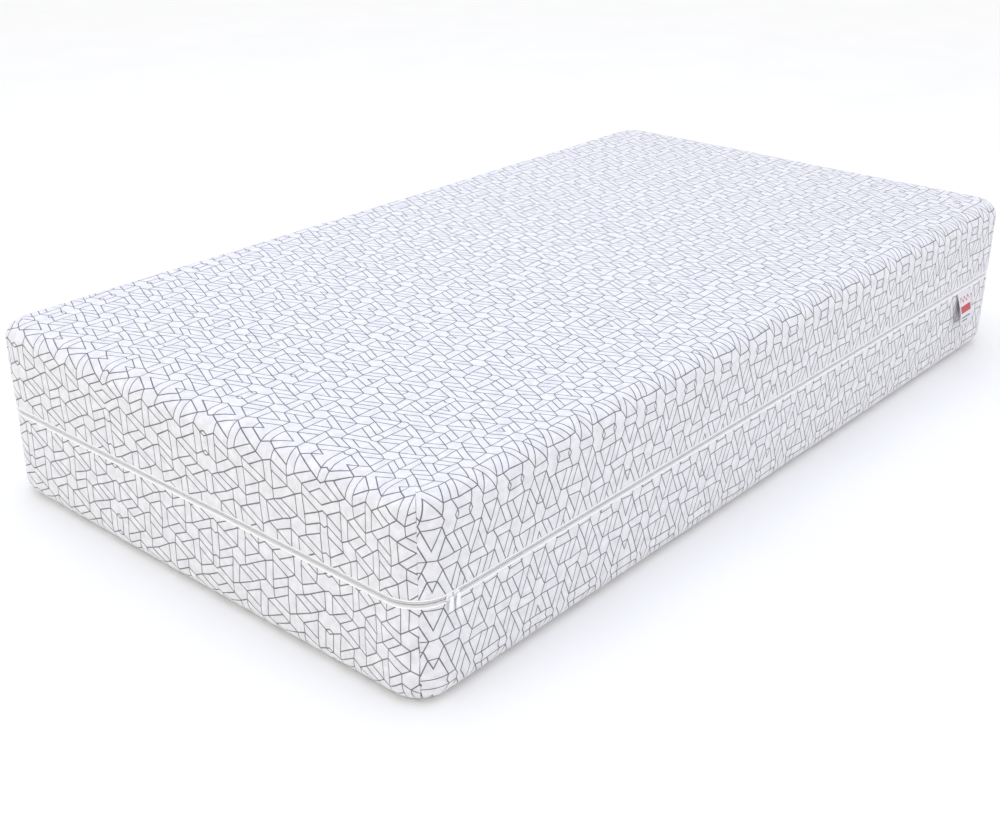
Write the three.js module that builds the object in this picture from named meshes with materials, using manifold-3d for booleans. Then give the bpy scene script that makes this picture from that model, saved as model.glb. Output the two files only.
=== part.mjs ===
// Memory foam mattress, 110 x 200 cm. A core of three foam layers lies in a thin inner sock, inside a
// knitted cover made of a top half and a bottom half, which a coil zip with two sliders closes all round.
// Millimetres, +Z up. The origin is the centre of the underside, and +X runs along the length.
import * as THREE from 'three';
import { mergeVertices } from 'three/addons/utils/BufferGeometryUtils.js';
import Module from 'manifold-3d';

const wasm = await Module();
wasm.setup();

// The mattress
const LENGTH = 2000;
const WIDTH = 1100;
const HEIGHT = 352;
const CORNER_RADIUS = 64;
const EDGE_RADIUS = 35;
const CORNER_STEPS = 8;
const EDGE_STEPS = 4;

// Depths below the cover's outer surface
const COVER_THICKNESS = 3;
const TAPE_FRONT = 3.3;
const TAPE_BACK = 4.1;
const SEAM_FRONT = 3.7;
const SEAM_BACK = 5.7;
const SOCK_FRONT = 6.4;
const SOCK_BACK = 7.2;
const CORE_INSET = 7.6;
const COIL_FRONT = 0.9;
const COIL_BACK = 3;

// Heights of the zip's parts, above and below its centre line
const ZIP_HEIGHT = 182;
const COIL_GAP = 0.6;
const COIL_EDGE = 3.6;
const TAPE_GAP = 1.6;
const TAPE_EDGE = 15;
const HEM_EDGE = 6.5;

// The inner sock's seam, and the glue lines between the foam layers
const SOCK_SEAM = 44;
const SOCK_SEAM_GAP = 0.5;
const BASE_TOP = 212;
const TRANSITION_TOP = 268;
const LAYER_GAP = 0.3;

// The sewn corner seams
const SEAM_HALF_ANGLE = 0.14;
const SEAM_END_GAP = 2;

// A zip slider: two plates joined by a thin web, with flanges over the coils and a bail for the pull
const SLIDER_LENGTH = 13.2;
const SLIDER_HALF_HEIGHT = 5.2;
const FRONT_PLATE_OUTSIDE = -1.4;
const FRONT_PLATE_INSIDE = 0.3;
const BACK_PLATE_FRONT = 4.9;
const BACK_PLATE_BACK = 5.9;
const BACK_PLATE_HALF_HEIGHT = 4.6;
const FLANGE_INSIDE = 3.95;
const FLANGE_BACK = 2.9;
const WEB_THICKNESS = 0.5;
const WEB_LENGTH = 1.2;
const TAIL_CHAMFER = 2.2;
const NOSE_CHAMFER = 1.2;
const BAR_STANDOFF = 2.7;
const BAR_RADIUS = 0.8;
const LEG_THICKNESS = 1.2;
const LEG_HEIGHT = 2.4;
const OVERLAP = 0.1;

// Where the sliders stand on the front face, both at the closed end beside the front left corner
const LEFT_SLIDER_X = -LENGTH / 2 + CORNER_RADIUS;
const RIGHT_SLIDER_X = LEFT_SLIDER_X + 15.2;

// A ribbon pull: a loop round the bail's bar with a flat tab hanging from it
const PULL_WIDTH = 9.6;
const PULL_LENGTH = 24;
const PULL_THICKNESS = 1.6;
const PULL_LOOP_RADIUS = 2.2;
const PULL_HOLE_RADIUS = 1.3;

// The sewn side label, which curls away from the cover towards its free end
const LABEL_X = 817;
const LABEL_WIDTH = 62;
const LABEL_TOP = 175;
const LABEL_LENGTH = 77;
const LABEL_THICKNESS = 0.8;
const LABEL_DEPTH = -0.8;
const LABEL_CURL = 20;
const LABEL_STEPS = 8;

// One closed ring of the mattress's rounded outline, moved in by inset, at height z
function outlineRing(inset, z) {
  const radius = CORNER_RADIUS - inset;
  const points = [];
  for (let corner = 0; corner < 4; corner++) {
    const signX = corner === 0 || corner === 3 ? 1 : -1;
    const signY = corner < 2 ? 1 : -1;
    for (let step = 0; step <= CORNER_STEPS; step++) {
      const angle = (corner + step / CORNER_STEPS) * Math.PI / 2;
      const x = signX * (LENGTH / 2 - CORNER_RADIUS) + radius * Math.cos(angle);
      const y = signY * (WIDTH / 2 - CORNER_RADIUS) + radius * Math.sin(angle);
      points.push([x, y, z]);
    }
  }
  return points;
}

// A closed body through rows of [inset, z]. A capped one ends in flat faces at its first row, facing
// down, and at its last row, facing up. One without caps joins its last row to its first.
function loftRows(rows, capped) {
  const rings = rows.map(([inset, z]) => outlineRing(inset, z));
  const count = rings[0].length;
  const positions = rings.flat(2);
  const indices = [];
  const bands = capped ? rows.length - 1 : rows.length;
  for (let band = 0; band < bands; band++) {
    const lower = band * count;
    const upper = ((band + 1) % rows.length) * count;
    for (let side = 0; side < count; side++) {
      const next = (side + 1) % count;
      indices.push(lower + side, lower + next, upper + next);
      indices.push(lower + side, upper + next, upper + side);
    }
  }
  if (capped) {
    const firstCentre = positions.length / 3;
    const lastCentre = firstCentre + 1;
    const lastRing = (rows.length - 1) * count;
    positions.push(0, 0, rows[0][1], 0, 0, rows[rows.length - 1][1]);
    for (let side = 0; side < count; side++) {
      const next = (side + 1) % count;
      indices.push(firstCentre, next, side);
      indices.push(lastCentre, lastRing + side, lastRing + next);
    }
  }
  return meshGeometry(positions, indices);
}

function meshGeometry(positions, indices) {
  const geometry = new THREE.BufferGeometry();
  geometry.setAttribute('position', new THREE.Float32BufferAttribute(positions, 3));
  geometry.setIndex(indices);
  geometry.computeVertexNormals();
  return geometry;
}

// Rows up a wall that starts at zFrom, over the rolled edge and onto the top face
function wallToTop(inset, zFrom) {
  const rows = [[inset, zFrom]];
  for (let step = 0; step <= EDGE_STEPS; step++) {
    const angle = step / EDGE_STEPS * Math.PI / 2;
    const reach = EDGE_RADIUS - inset;
    rows.push([EDGE_RADIUS - reach * Math.cos(angle), HEIGHT - EDGE_RADIUS + reach * Math.sin(angle)]);
  }
  return rows;
}

// Rows from the bottom face, round the rolled edge and up a wall that ends at zTo
function bottomToWall(inset, zTo) {
  return wallToTop(inset, HEIGHT - zTo).map(([rowInset, z]) => [rowInset, HEIGHT - z]).reverse();
}

// A thin cap that is open below: the top half of a cover or sock
function upperShell(front, back, zFrom) {
  return loftRows([...wallToTop(back, zFrom).reverse(), ...wallToTop(front, zFrom)], true);
}

// A thin tray that is open above: the bottom half of a cover or sock
function lowerShell(front, back, zTo) {
  return loftRows([...bottomToWall(front, zTo), ...bottomToWall(back, zTo).reverse()], true);
}

// A flat band that runs all round the mattress between two depths and two heights
function bandRound(front, back, zLow, zHigh) {
  return loftRows([[front, zLow], [front, zHigh], [back, zHigh], [back, zLow]], false);
}

// A seam allowance pressed flat behind the cover, up the middle of one rounded corner
function cornerSeam(corner, zLow, zHigh) {
  const signX = corner === 0 || corner === 3 ? 1 : -1;
  const signY = corner < 2 ? 1 : -1;
  const middle = (corner + 0.5) * Math.PI / 2;
  const section = new THREE.Shape();
  section.absarc(0, 0, CORNER_RADIUS - SEAM_FRONT, middle - SEAM_HALF_ANGLE, middle + SEAM_HALF_ANGLE, false);
  section.absarc(0, 0, CORNER_RADIUS - SEAM_BACK, middle + SEAM_HALF_ANGLE, middle - SEAM_HALF_ANGLE, true);
  const geometry = new THREE.ExtrudeGeometry(section, {
    depth: zHigh - zLow, bevelEnabled: false, curveSegments: 4,
  });
  const x = signX * (LENGTH / 2 - CORNER_RADIUS);
  const y = signY * (WIDTH / 2 - CORNER_RADIUS);
  return geometry.translate(x, y, zLow);
}

// Turns a side view, drawn as [depth, height], into a body that is width long and centred along X
function extrudeAlongX(shape, width, curveSegments) {
  const geometry = new THREE.ExtrudeGeometry(shape, { depth: width, bevelEnabled: false, curveSegments });
  const turn = new THREE.Matrix4().makeBasis(
    new THREE.Vector3(0, 1, 0), new THREE.Vector3(0, 0, 1), new THREE.Vector3(1, 0, 0));
  return geometry.translate(0, 0, -width / 2).applyMatrix4(turn);
}

function toSolid(geometry) {
  const bare = geometry.clone();
  bare.deleteAttribute('normal');
  bare.deleteAttribute('uv');
  const merged = mergeVertices(bare);
  return new wasm.Manifold(new wasm.Mesh({
    numProp: 3,
    vertProperties: new Float32Array(merged.attributes.position.array),
    triVerts: new Uint32Array(merged.index.array),
  }));
}

function joinSolids(geometries) {
  const joined = geometries.map(toSolid).reduce((whole, piece) => whole.add(piece));
  const mesh = joined.getMesh();
  return meshGeometry(Array.from(mesh.vertProperties), Array.from(mesh.triVerts));
}

// A box between two corners, given as [x, y, z]
function boxBetween(low, high) {
  const size = high.map((value, axis) => value - low[axis]);
  const middle = high.map((value, axis) => (value + low[axis]) / 2);
  return new THREE.BoxGeometry(...size).translate(...middle);
}

// One slider plate: a flat outline whose tail is narrower than its nose, which points along nose * X
function sliderPlate(nose, halfHeight, front, back) {
  const half = SLIDER_LENGTH / 2;
  const upperOutline = [
    [half, halfHeight - NOSE_CHAMFER],
    [half - NOSE_CHAMFER, halfHeight],
    [TAIL_CHAMFER - half, halfHeight],
    [-half, halfHeight - TAIL_CHAMFER],
  ];
  const lowerOutline = upperOutline.map(([x, z]) => [x, -z]).reverse();
  const points = [...upperOutline, ...lowerOutline].map(([x, z]) => new THREE.Vector2(nose * x, z));
  const depth = back - front;
  const plate = new THREE.ExtrudeGeometry(new THREE.Shape(points), { depth, bevelEnabled: false });
  return plate.rotateX(Math.PI / 2).translate(0, back, 0);
}

// A whole slider, with +Y into the mattress. Its web stands at the nose, between the two coils.
function sliderBody(nose) {
  const half = SLIDER_LENGTH / 2;
  const barDepth = FRONT_PLATE_OUTSIDE - BAR_STANDOFF;
  const webX = nose * (half - 1.5 * WEB_LENGTH);
  const pieces = [
    sliderPlate(nose, SLIDER_HALF_HEIGHT, FRONT_PLATE_OUTSIDE, FRONT_PLATE_INSIDE),
    sliderPlate(nose, BACK_PLATE_HALF_HEIGHT, BACK_PLATE_FRONT, BACK_PLATE_BACK),
    boxBetween(
      [webX - WEB_LENGTH / 2, FRONT_PLATE_INSIDE - OVERLAP, -WEB_THICKNESS / 2],
      [webX + WEB_LENGTH / 2, BACK_PLATE_FRONT + OVERLAP, WEB_THICKNESS / 2]),
  ];
  const flangeHeight = SLIDER_HALF_HEIGHT - FLANGE_INSIDE;
  for (const side of [-1, 1]) {
    const flangeMiddle = side * (SLIDER_HALF_HEIGHT - flangeHeight / 2);
    pieces.push(boxBetween(
      [TAIL_CHAMFER - half, FRONT_PLATE_INSIDE - OVERLAP, flangeMiddle - flangeHeight / 2],
      [half - TAIL_CHAMFER, FLANGE_BACK, flangeMiddle + flangeHeight / 2]));
    const legMiddle = side * (half - LEG_THICKNESS);
    pieces.push(boxBetween(
      [legMiddle - LEG_THICKNESS / 2, barDepth - BAR_RADIUS, -LEG_HEIGHT / 2],
      [legMiddle + LEG_THICKNESS / 2, FRONT_PLATE_OUTSIDE + OVERLAP, LEG_HEIGHT / 2]));
  }
  const bar = new THREE.CylinderGeometry(BAR_RADIUS, BAR_RADIUS, SLIDER_LENGTH - 2 * LEG_THICKNESS, 12);
  pieces.push(bar.rotateZ(Math.PI / 2).translate(0, barDepth, 0));
  return joinSolids(pieces);
}

// A ribbon pull hanging from the bail's bar, in the slider's own frame
function pullBody() {
  const barDepth = FRONT_PLATE_OUTSIDE - BAR_STANDOFF;
  const halfThickness = PULL_THICKNESS / 2;
  const neckAngle = Math.asin(halfThickness / PULL_LOOP_RADIUS);
  const side = new THREE.Shape();
  side.absarc(barDepth, 0, PULL_LOOP_RADIUS, neckAngle - Math.PI / 2, -Math.PI / 2 - neckAngle, false);
  side.absarc(barDepth, halfThickness - PULL_LENGTH, halfThickness, Math.PI, 2 * Math.PI, false);
  const hole = new THREE.Path();
  hole.absarc(barDepth, 0, PULL_HOLE_RADIUS, 0, 2 * Math.PI, true);
  side.holes.push(hole);
  return extrudeAlongX(side, PULL_WIDTH, 16);
}

// How far behind the cover's outer surface the label's middle lies, from its stitched top down
function labelDepth(fraction) {
  return LABEL_DEPTH - LABEL_CURL * fraction ** 3;
}

// The side label, in a frame whose +Y runs into the mattress
function labelBody() {
  const front = [];
  const back = [];
  for (let step = 0; step <= LABEL_STEPS; step++) {
    const fraction = step / LABEL_STEPS;
    const slope = 3 * LABEL_CURL * fraction ** 2 / LABEL_LENGTH;
    const stretch = Math.hypot(1, slope);
    const depthShift = LABEL_THICKNESS / 2 / stretch;
    const heightShift = LABEL_THICKNESS / 2 * slope / stretch;
    const height = LABEL_TOP - LABEL_LENGTH * fraction;
    front.push(new THREE.Vector2(labelDepth(fraction) - depthShift, height + heightShift));
    back.push(new THREE.Vector2(labelDepth(fraction) + depthShift, height - heightShift));
  }
  return extrudeAlongX(new THREE.Shape([...front, ...back.reverse()]), LABEL_WIDTH, 1);
}

const group = new THREE.Group();

function addPiece(name, geometry, color, roughness, metalness = 0) {
  const material = new THREE.MeshStandardMaterial({ color, roughness, metalness });
  const piece = new THREE.Mesh(geometry, material);
  piece.name = name;
  group.add(piece);
  return piece;
}

const KNIT = 0xe6e6ee;
const TAPE = 0xf4f4f6;
const COIL = 0xb9b9be;
const SOCK = 0xf2f0ea;

function addCovers() {
  const upperHem = ZIP_HEIGHT + HEM_EDGE;
  const lowerHem = ZIP_HEIGHT - HEM_EDGE;
  addPiece('cover_top', upperShell(0, COVER_THICKNESS, upperHem), KNIT, 0.85);
  addPiece('cover_bottom', lowerShell(0, COVER_THICKNESS, lowerHem), KNIT, 0.85);
  const cornerNames = ['back_right', 'back_left', 'front_left', 'front_right'];
  const upperStart = ZIP_HEIGHT + TAPE_EDGE + SEAM_END_GAP;
  const lowerEnd = ZIP_HEIGHT - TAPE_EDGE - SEAM_END_GAP;
  cornerNames.forEach((name, corner) => {
    const upper = cornerSeam(corner, upperStart, HEIGHT - EDGE_RADIUS - SEAM_END_GAP);
    const lower = cornerSeam(corner, EDGE_RADIUS + SEAM_END_GAP, lowerEnd);
    addPiece(`seam_top_${name}`, upper, KNIT, 0.9);
    addPiece(`seam_bottom_${name}`, lower, KNIT, 0.9);
  });
}

function addZip() {
  const tapeUpper = bandRound(TAPE_FRONT, TAPE_BACK, ZIP_HEIGHT + TAPE_GAP, ZIP_HEIGHT + TAPE_EDGE);
  const tapeLower = bandRound(TAPE_FRONT, TAPE_BACK, ZIP_HEIGHT - TAPE_EDGE, ZIP_HEIGHT - TAPE_GAP);
  const coilUpper = bandRound(COIL_FRONT, COIL_BACK, ZIP_HEIGHT + COIL_GAP, ZIP_HEIGHT + COIL_EDGE);
  const coilLower = bandRound(COIL_FRONT, COIL_BACK, ZIP_HEIGHT - COIL_EDGE, ZIP_HEIGHT - COIL_GAP);
  addPiece('zip_tape_upper', tapeUpper, TAPE, 0.8);
  addPiece('zip_tape_lower', tapeLower, TAPE, 0.8);
  addPiece('zip_coil_upper', coilUpper, COIL, 0.45);
  addPiece('zip_coil_lower', coilLower, COIL, 0.45);
}

// The left slider's nose points right and the right slider's points left, so they meet nose to nose
function addSliders() {
  for (const [name, x, nose] of [['left', LEFT_SLIDER_X, 1], ['right', RIGHT_SLIDER_X, -1]]) {
    const slider = addPiece(`slider_${name}`, sliderBody(nose), 0xe9e9ec, 0.35, 0.2);
    const pull = addPiece(`pull_${name}`, pullBody(), 0xf3f3f5, 0.8);
    slider.position.set(x, -WIDTH / 2, ZIP_HEIGHT);
    pull.position.set(x, -WIDTH / 2, ZIP_HEIGHT);
  }
}

function addLabel() {
  const label = addPiece('side_label', labelBody(), 0xf5f5f5, 0.7);
  label.position.set(LABEL_X, -WIDTH / 2, 0);
}

function addCore() {
  addPiece('sock_upper', upperShell(SOCK_FRONT, SOCK_BACK, SOCK_SEAM + SOCK_SEAM_GAP), SOCK, 0.9);
  addPiece('sock_lower', lowerShell(SOCK_FRONT, SOCK_BACK, SOCK_SEAM), SOCK, 0.9);
  addPiece('base_foam', loftRows(bottomToWall(CORE_INSET, BASE_TOP), true), 0xf0efe6, 0.95);
  const transition = [[CORE_INSET, BASE_TOP + LAYER_GAP], [CORE_INSET, TRANSITION_TOP]];
  addPiece('transition_foam', loftRows(transition, true), 0xd9e4ee, 0.95);
  addPiece('memory_foam', loftRows(wallToTop(CORE_INSET, TRANSITION_TOP + LAYER_GAP), true), 0xf3ead2, 0.95);
}

addCovers();
addZip();
addSliders();
addLabel();
addCore();

export default group;
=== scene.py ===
"""A memory foam mattress in a white jacquard cover with an all-round zip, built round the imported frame.

Metres, +Z up, the origin at the centre of the underside, +X along the length. The zip sliders and the
side label are on the -Y side.
"""
import math

import bmesh
import bpy
import numpy as np
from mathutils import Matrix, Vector, noise
from mathutils.geometry import delaunay_2d_cdt


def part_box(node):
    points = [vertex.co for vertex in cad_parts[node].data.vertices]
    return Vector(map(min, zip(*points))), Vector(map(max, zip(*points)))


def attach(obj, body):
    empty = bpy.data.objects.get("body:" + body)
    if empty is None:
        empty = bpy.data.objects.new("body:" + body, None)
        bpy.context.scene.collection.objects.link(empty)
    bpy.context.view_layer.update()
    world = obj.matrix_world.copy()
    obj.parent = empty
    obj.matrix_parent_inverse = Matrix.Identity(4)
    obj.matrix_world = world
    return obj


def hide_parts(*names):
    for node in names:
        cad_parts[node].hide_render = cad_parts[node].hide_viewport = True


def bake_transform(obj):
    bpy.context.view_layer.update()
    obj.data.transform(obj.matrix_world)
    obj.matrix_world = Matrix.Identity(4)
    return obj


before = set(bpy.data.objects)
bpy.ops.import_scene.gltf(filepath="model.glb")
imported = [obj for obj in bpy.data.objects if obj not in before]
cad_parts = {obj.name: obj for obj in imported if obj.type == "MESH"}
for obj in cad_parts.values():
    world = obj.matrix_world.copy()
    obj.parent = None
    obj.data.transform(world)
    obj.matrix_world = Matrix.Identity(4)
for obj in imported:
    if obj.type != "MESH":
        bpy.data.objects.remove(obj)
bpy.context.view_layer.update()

# ---- sizes taken from the frame
COVER_LOW, COVER_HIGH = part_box("cover_bottom")[0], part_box("cover_top")[1]
LENGTH = COVER_HIGH.x - COVER_LOW.x
WIDTH = COVER_HIGH.y - COVER_LOW.y
HEIGHT = COVER_HIGH.z
UPPER_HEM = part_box("cover_top")[0].z
LOWER_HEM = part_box("cover_bottom")[1].z
ZIP_Z = (UPPER_HEM + LOWER_HEM) / 2
CORNER_RADIUS = 0.064
EDGE_RADIUS = 0.035
FLAT_RADIUS = CORNER_RADIUS - EDGE_RADIUS
CORNER_X = LENGTH / 2 - CORNER_RADIUS
CORNER_Y = WIDTH / 2 - CORNER_RADIUS
ROLL = EDGE_RADIUS * math.pi / 2

# ---- the knitted pattern
UNIT = 0.00725           # a step of the pattern's lattice along X
ROW = 0.0086             # height of one row of the lattice
HEX_SIDE = 2             # steps along a hexagon's side
HEX_STEP = 8             # steps from one hexagon to the next
TILE = 32                # the pattern is mirrored every 32 steps and 32 rows
MIRROR_ROW = 1           # the row of one of its mirror lines; hexagons are centred on row 0
LINE_HALF = 0.00095      # half the width of a grey line
LINE_HEIGHT = 0.00008    # how far its edges stand above its middle
PUFF_INSET = 0.0029      # how far from a line's middle the cloth has risen to its full height
PUFF_HEIGHT = 0.0007     # that height
CROWN_HEIGHT = 0.0014    # and the height inside a large cell
PATTERN_X = -0.2633         # where one of its mirror lines lies along the length
UPPER_PATTERN_Y = -0.3074   # where the pattern's row 0 lies on the upper half's cloth
LOWER_PATTERN_Y = -0.0332   # and on the lower half's, so that the pattern runs on across the zip
SPARE = 20               # lattice points drawn beyond the cloth's edge, so that no cell is left open
SNAP = 0.0002            # a cut that passes a vertex this closely goes through it
STEPS = [(2, 0), (1, 1), (-1, 1), (-2, 0), (-1, -1), (1, -1)]   # in half steps and rows


def fold(value, period):
    """value mirrored into the range from 0 to period."""
    return abs((value + period) % (2 * period) - period)


def edge_key(a, b):
    """An edge's midpoint, doubled, mirrored into the pattern's tile. It names the edge."""
    return fold(a[0] + b[0], 4 * TILE), fold(a[1] + b[1] - 2 * MIRROR_ROW, 2 * TILE)


# Ways to fill a large triangle whose first side runs along X. Each line joins two points that
# count steps along that side, and along the side from its start to the far corner.
PEAK = [[(2, 0), (2, 6)], [(6, 0), (2, 4)]]
HATCH = [[(0, 2), (6, 2)], [(4, 2), (0, 6)]]


def pattern_keys():
    """The drawn edges of the pattern's tile: hexagons, lines that join them, and filled triangles."""
    keys = set()

    def draw(start, end):
        count = max(abs(end[1] - start[1]), abs(end[0] - start[0]) // 2)
        for step in range(count):
            a, b = (
                tuple(start[axis] + (end[axis] - start[axis]) * at // count for axis in (0, 1))
                for at in (step, step + 1)
            )
            across = a[0] + b[0]
            up = a[1] + b[1] - 2 * MIRROR_ROW
            if 0 <= across <= 4 * TILE and 0 <= up <= 2 * TILE:
                keys.add(edge_key(a, b))

    for row in range(-1, TILE // HEX_STEP + 2):
        for column in range(-1, TILE // HEX_STEP + 1):
            x = 2 * HEX_STEP * column + HEX_STEP * ((row + 1) % 2)
            y = HEX_STEP * row
            corners = [(x + HEX_SIDE * step[0], y + HEX_SIDE * step[1]) for step in STEPS]
            for a, b in zip(corners, corners[1:] + corners[:1]):
                draw(a, b)
            for step in (STEPS[0], STEPS[1], STEPS[5]):
                near, far = HEX_SIDE, HEX_STEP - HEX_SIDE
                draw((x + near * step[0], y + near * step[1]), (x + far * step[0], y + far * step[1]))
            for rise, fill in zip((1, -1), (HATCH, PEAK) if column % 2 else (PEAK, HATCH)):
                corner = (x + HEX_STEP, y + rise * HEX_STEP)
                p0, p1 = (x, y), (x + 2 * HEX_STEP, y)
                if row % 2:
                    p0, p1 = p1, p0
                along = [(p1[axis] - p0[axis]) // HEX_STEP for axis in (0, 1)]
                across = [(corner[axis] - p0[axis]) // HEX_STEP for axis in (0, 1)]
                for ends in fill:
                    draw(*(
                        tuple(p0[axis] + s * along[axis] + t * across[axis] for axis in (0, 1))
                        for s, t in ends
                    ))
    return keys


def pattern_masks(reach_x, reach_y):
    """{lattice point: which of its six edges are drawn}, out to that many half steps and rows."""
    keys = pattern_keys()
    masks = {}
    for y in range(-reach_y, reach_y + 1):
        for x in range(-reach_x, reach_x + 1):
            if (x - y) % 2:
                continue
            for way in range(3):
                other = (x + STEPS[way][0], y + STEPS[way][1])
                if abs(other[0]) > reach_x or other[1] > reach_y:
                    continue
                if edge_key((x, y), other) in keys:
                    masks[x, y] = masks.get((x, y), 0) | 1 << way
                    masks[other] = masks.get(other, 0) | 1 << (way + 3)
    return masks


def lattice(point):
    return np.array([point[0] * UNIT / 2, point[1] * ROW])


def miter_table():
    """How far the inner corner lies from a lattice point, per metre of inset, for each two edges."""
    table = {}
    for arrive in range(6):
        for leave in range(6):
            if leave == (arrive + 3) % 6:
                continue
            normals = []
            for way in (arrive, leave):
                along = lattice(STEPS[way])
                along /= np.linalg.norm(along)
                normals.append(np.array([-along[1], along[0]]))
            table[arrive, leave] = (normals[0] + normals[1]) / (1 + normals[0] @ normals[1])
    return table


def trace_faces(masks):
    """Each closed cell of the pattern, anticlockwise, as lattice points and the ways of its edges."""
    seen = set()
    for start, mask in masks.items():
        for way in range(6):
            if not mask >> way & 1 or (start, way) in seen:
                continue
            points, ways = [], []
            here, going = start, way
            while (here, going) not in seen:
                seen.add((here, going))
                points.append(here)
                ways.append(going)
                here = (here[0] + STEPS[going][0], here[1] + STEPS[going][1])
                back = (going + 3) % 6
                going = next(
                    (back - turn) % 6 for turn in range(1, 7) if masks[here] >> (back - turn) % 6 & 1
                )
            area = sum(a[0] * b[1] - b[0] * a[1] for a, b in zip(points, points[1:] + points[:1]))
            spur = any((a + 3) % 6 == b for a, b in zip(ways, ways[1:] + ways[:1]))
            if area > 0 and not spur:
                yield points, ways


def inner_points(points):
    """Every second lattice point that lies strictly inside a cell."""
    xs = [p[0] for p in points]
    ys = [p[1] for p in points]
    border = set(points)
    found = []
    for y in range(min(ys) + 1, max(ys)):
        for x in range(min(xs) + 1, max(xs)):
            if x % 2 or y % 2 or (x - y) % 4 or (x, y) in border:
                continue
            crossings = 0
            for a, b in zip(points, points[1:] + points[:1]):
                if (a[1] > y) != (b[1] > y):
                    crossings += x < a[0] + (y - a[1]) * (b[0] - a[0]) / (b[1] - a[1])
            if crossings % 2:
                found.append((x, y))
    return found


def two_tris(a, b, c, d):
    """A face with four corners as two triangles."""
    return (a, b, c), (a, c, d)


def pattern_sheet(half_x, half_y, row_0):
    """The flat patterned cloth: vertices as [x, y, relief], triangles, and 1 for a line's triangles.
    row_0 is where the pattern's row 0 lies."""
    origin = np.array([PATTERN_X, row_0])
    masks = pattern_masks(int((half_x + abs(PATTERN_X)) / UNIT * 2) + SPARE,
                          int((half_y + abs(row_0)) / ROW) + SPARE)
    miters = miter_table()
    verts, tris, lines = [], [], []
    node_index = {}

    def node(point):
        if point not in node_index:
            node_index[point] = len(verts)
            verts.append((*(lattice(point) + origin), 0.0))
        return node_index[point]

    for points, ways in trace_faces(masks):
        turns = [
            i for i in range(len(points))
            if ways[i - 1] != ways[i] or masks[points[i]].bit_count() > 2
        ]
        count = len(turns)
        rings = [[node(points[i]) for i in turns]]
        for inset, height in ((LINE_HALF, LINE_HEIGHT), (PUFF_INSET, PUFF_HEIGHT)):
            ring = []
            for i in turns:
                ring.append(len(verts))
                corner = origin + lattice(points[i]) + miters[ways[i - 1], ways[i]] * inset
                verts.append((*corner, height))
            rings.append(ring)
        for inner, is_line in ((0, 1), (1, 0)):
            for i in range(count):
                j = (i + 1) % count
                outside, inside = rings[inner:inner + 2]
                tris.extend(two_tris(outside[i], outside[j], inside[j], inside[i]))
                lines.extend((is_line, is_line))
        cell = list(rings[2])
        for point in inner_points(points):
            cell.append(len(verts))
            verts.append((*(lattice(point) + origin), CROWN_HEIGHT))
        flat = [Vector(verts[i][:2]) for i in cell]
        _, _, faces, origins, _, _ = delaunay_2d_cdt(flat, [], [list(range(count))], 1, 1e-7)
        for face in faces:
            tris.append(tuple(cell[origins[corner][0]] for corner in face))
            lines.append(0)
    return np.array(verts), np.array(tris), np.array(lines)


def split(verts, tris, tags, level):
    """Cuts the triangles where level changes sign. Also returns each triangle's side, 1 or -1."""
    level = np.where(np.abs(level) < SNAP, 0.0, level)
    sign = np.sign(level)[tris]
    whole = (sign.max(1) <= 0) | (sign.min(1) >= 0)
    new_tris = [tuple(t) for t in tris[whole]]
    new_tags = list(tags[whole])
    sides = list(np.where(sign[whole].sum(1) >= 0, 1, -1))
    new_verts = list(map(tuple, verts))
    cuts = {}

    def cut(i, j):
        key = (min(i, j), max(i, j))
        if key not in cuts:
            share = level[key[0]] / (level[key[0]] - level[key[1]])
            cuts[key] = len(new_verts)
            new_verts.append(tuple(verts[key[0]] + share * (verts[key[1]] - verts[key[0]])))
        return cuts[key]

    for t, tag in zip(tris[~whole], tags[~whole]):
        loop = []
        for k in range(3):
            i, j = t[k], t[(k + 1) % 3]
            loop.append((i, level[i]))
            if level[i] * level[j] < 0:
                loop.append((cut(i, j), 0.0))
        for side in (1, -1):
            kept = [i for i, value in loop if value * side >= 0]
            for k in range(1, len(kept) - 1):
                new_tris.append((kept[0], kept[k], kept[k + 1]))
                new_tags.append(tag)
                sides.append(side)
    return np.array(new_verts), np.array(new_tris), np.array(new_tags), np.array(sides)


def refine(verts, tris, tags):
    """Halves each edge of the flat cloth that would have to bend too far once it is draped."""
    edges = np.unique(np.sort(np.vstack((tris[:, :2], tris[:, 1:], tris[:, ::2])), axis=1), axis=0)
    turns = bend(verts)
    wanted = np.abs(turns[edges[:, 0]] - turns[edges[:, 1]]).max(1) > MOST_BEND
    middle = verts[edges].mean(1)
    halves = {tuple(e): len(verts) + i for i, e in enumerate(edges[wanted])}
    verts = np.vstack((verts, middle[wanted]))
    new_tris, new_tags = [], []
    for t, tag in zip(tris, tags):
        a, b, c = (int(i) for i in t)
        ab = halves.get((min(a, b), max(a, b)))
        bc = halves.get((min(b, c), max(b, c)))
        ca = halves.get((min(c, a), max(c, a)))
        loop = [i for i in (a, ab, b, bc, c, ca) if i is not None]
        if len(loop) == 6:
            parts = [(a, ab, ca), (ab, b, bc), (ca, bc, c), (ab, bc, ca)]
        else:
            first = next((k for k, i in enumerate(loop) if i in (ab, bc, ca)), 0)
            loop = loop[first:] + loop[:first]
            parts = [(loop[0], loop[k], loop[k + 1]) for k in range(1, len(loop) - 1)]
        new_tris.extend(parts)
        new_tags.extend([tag] * len(parts))
    return verts, np.array(new_tris), np.array(new_tags)


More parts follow.
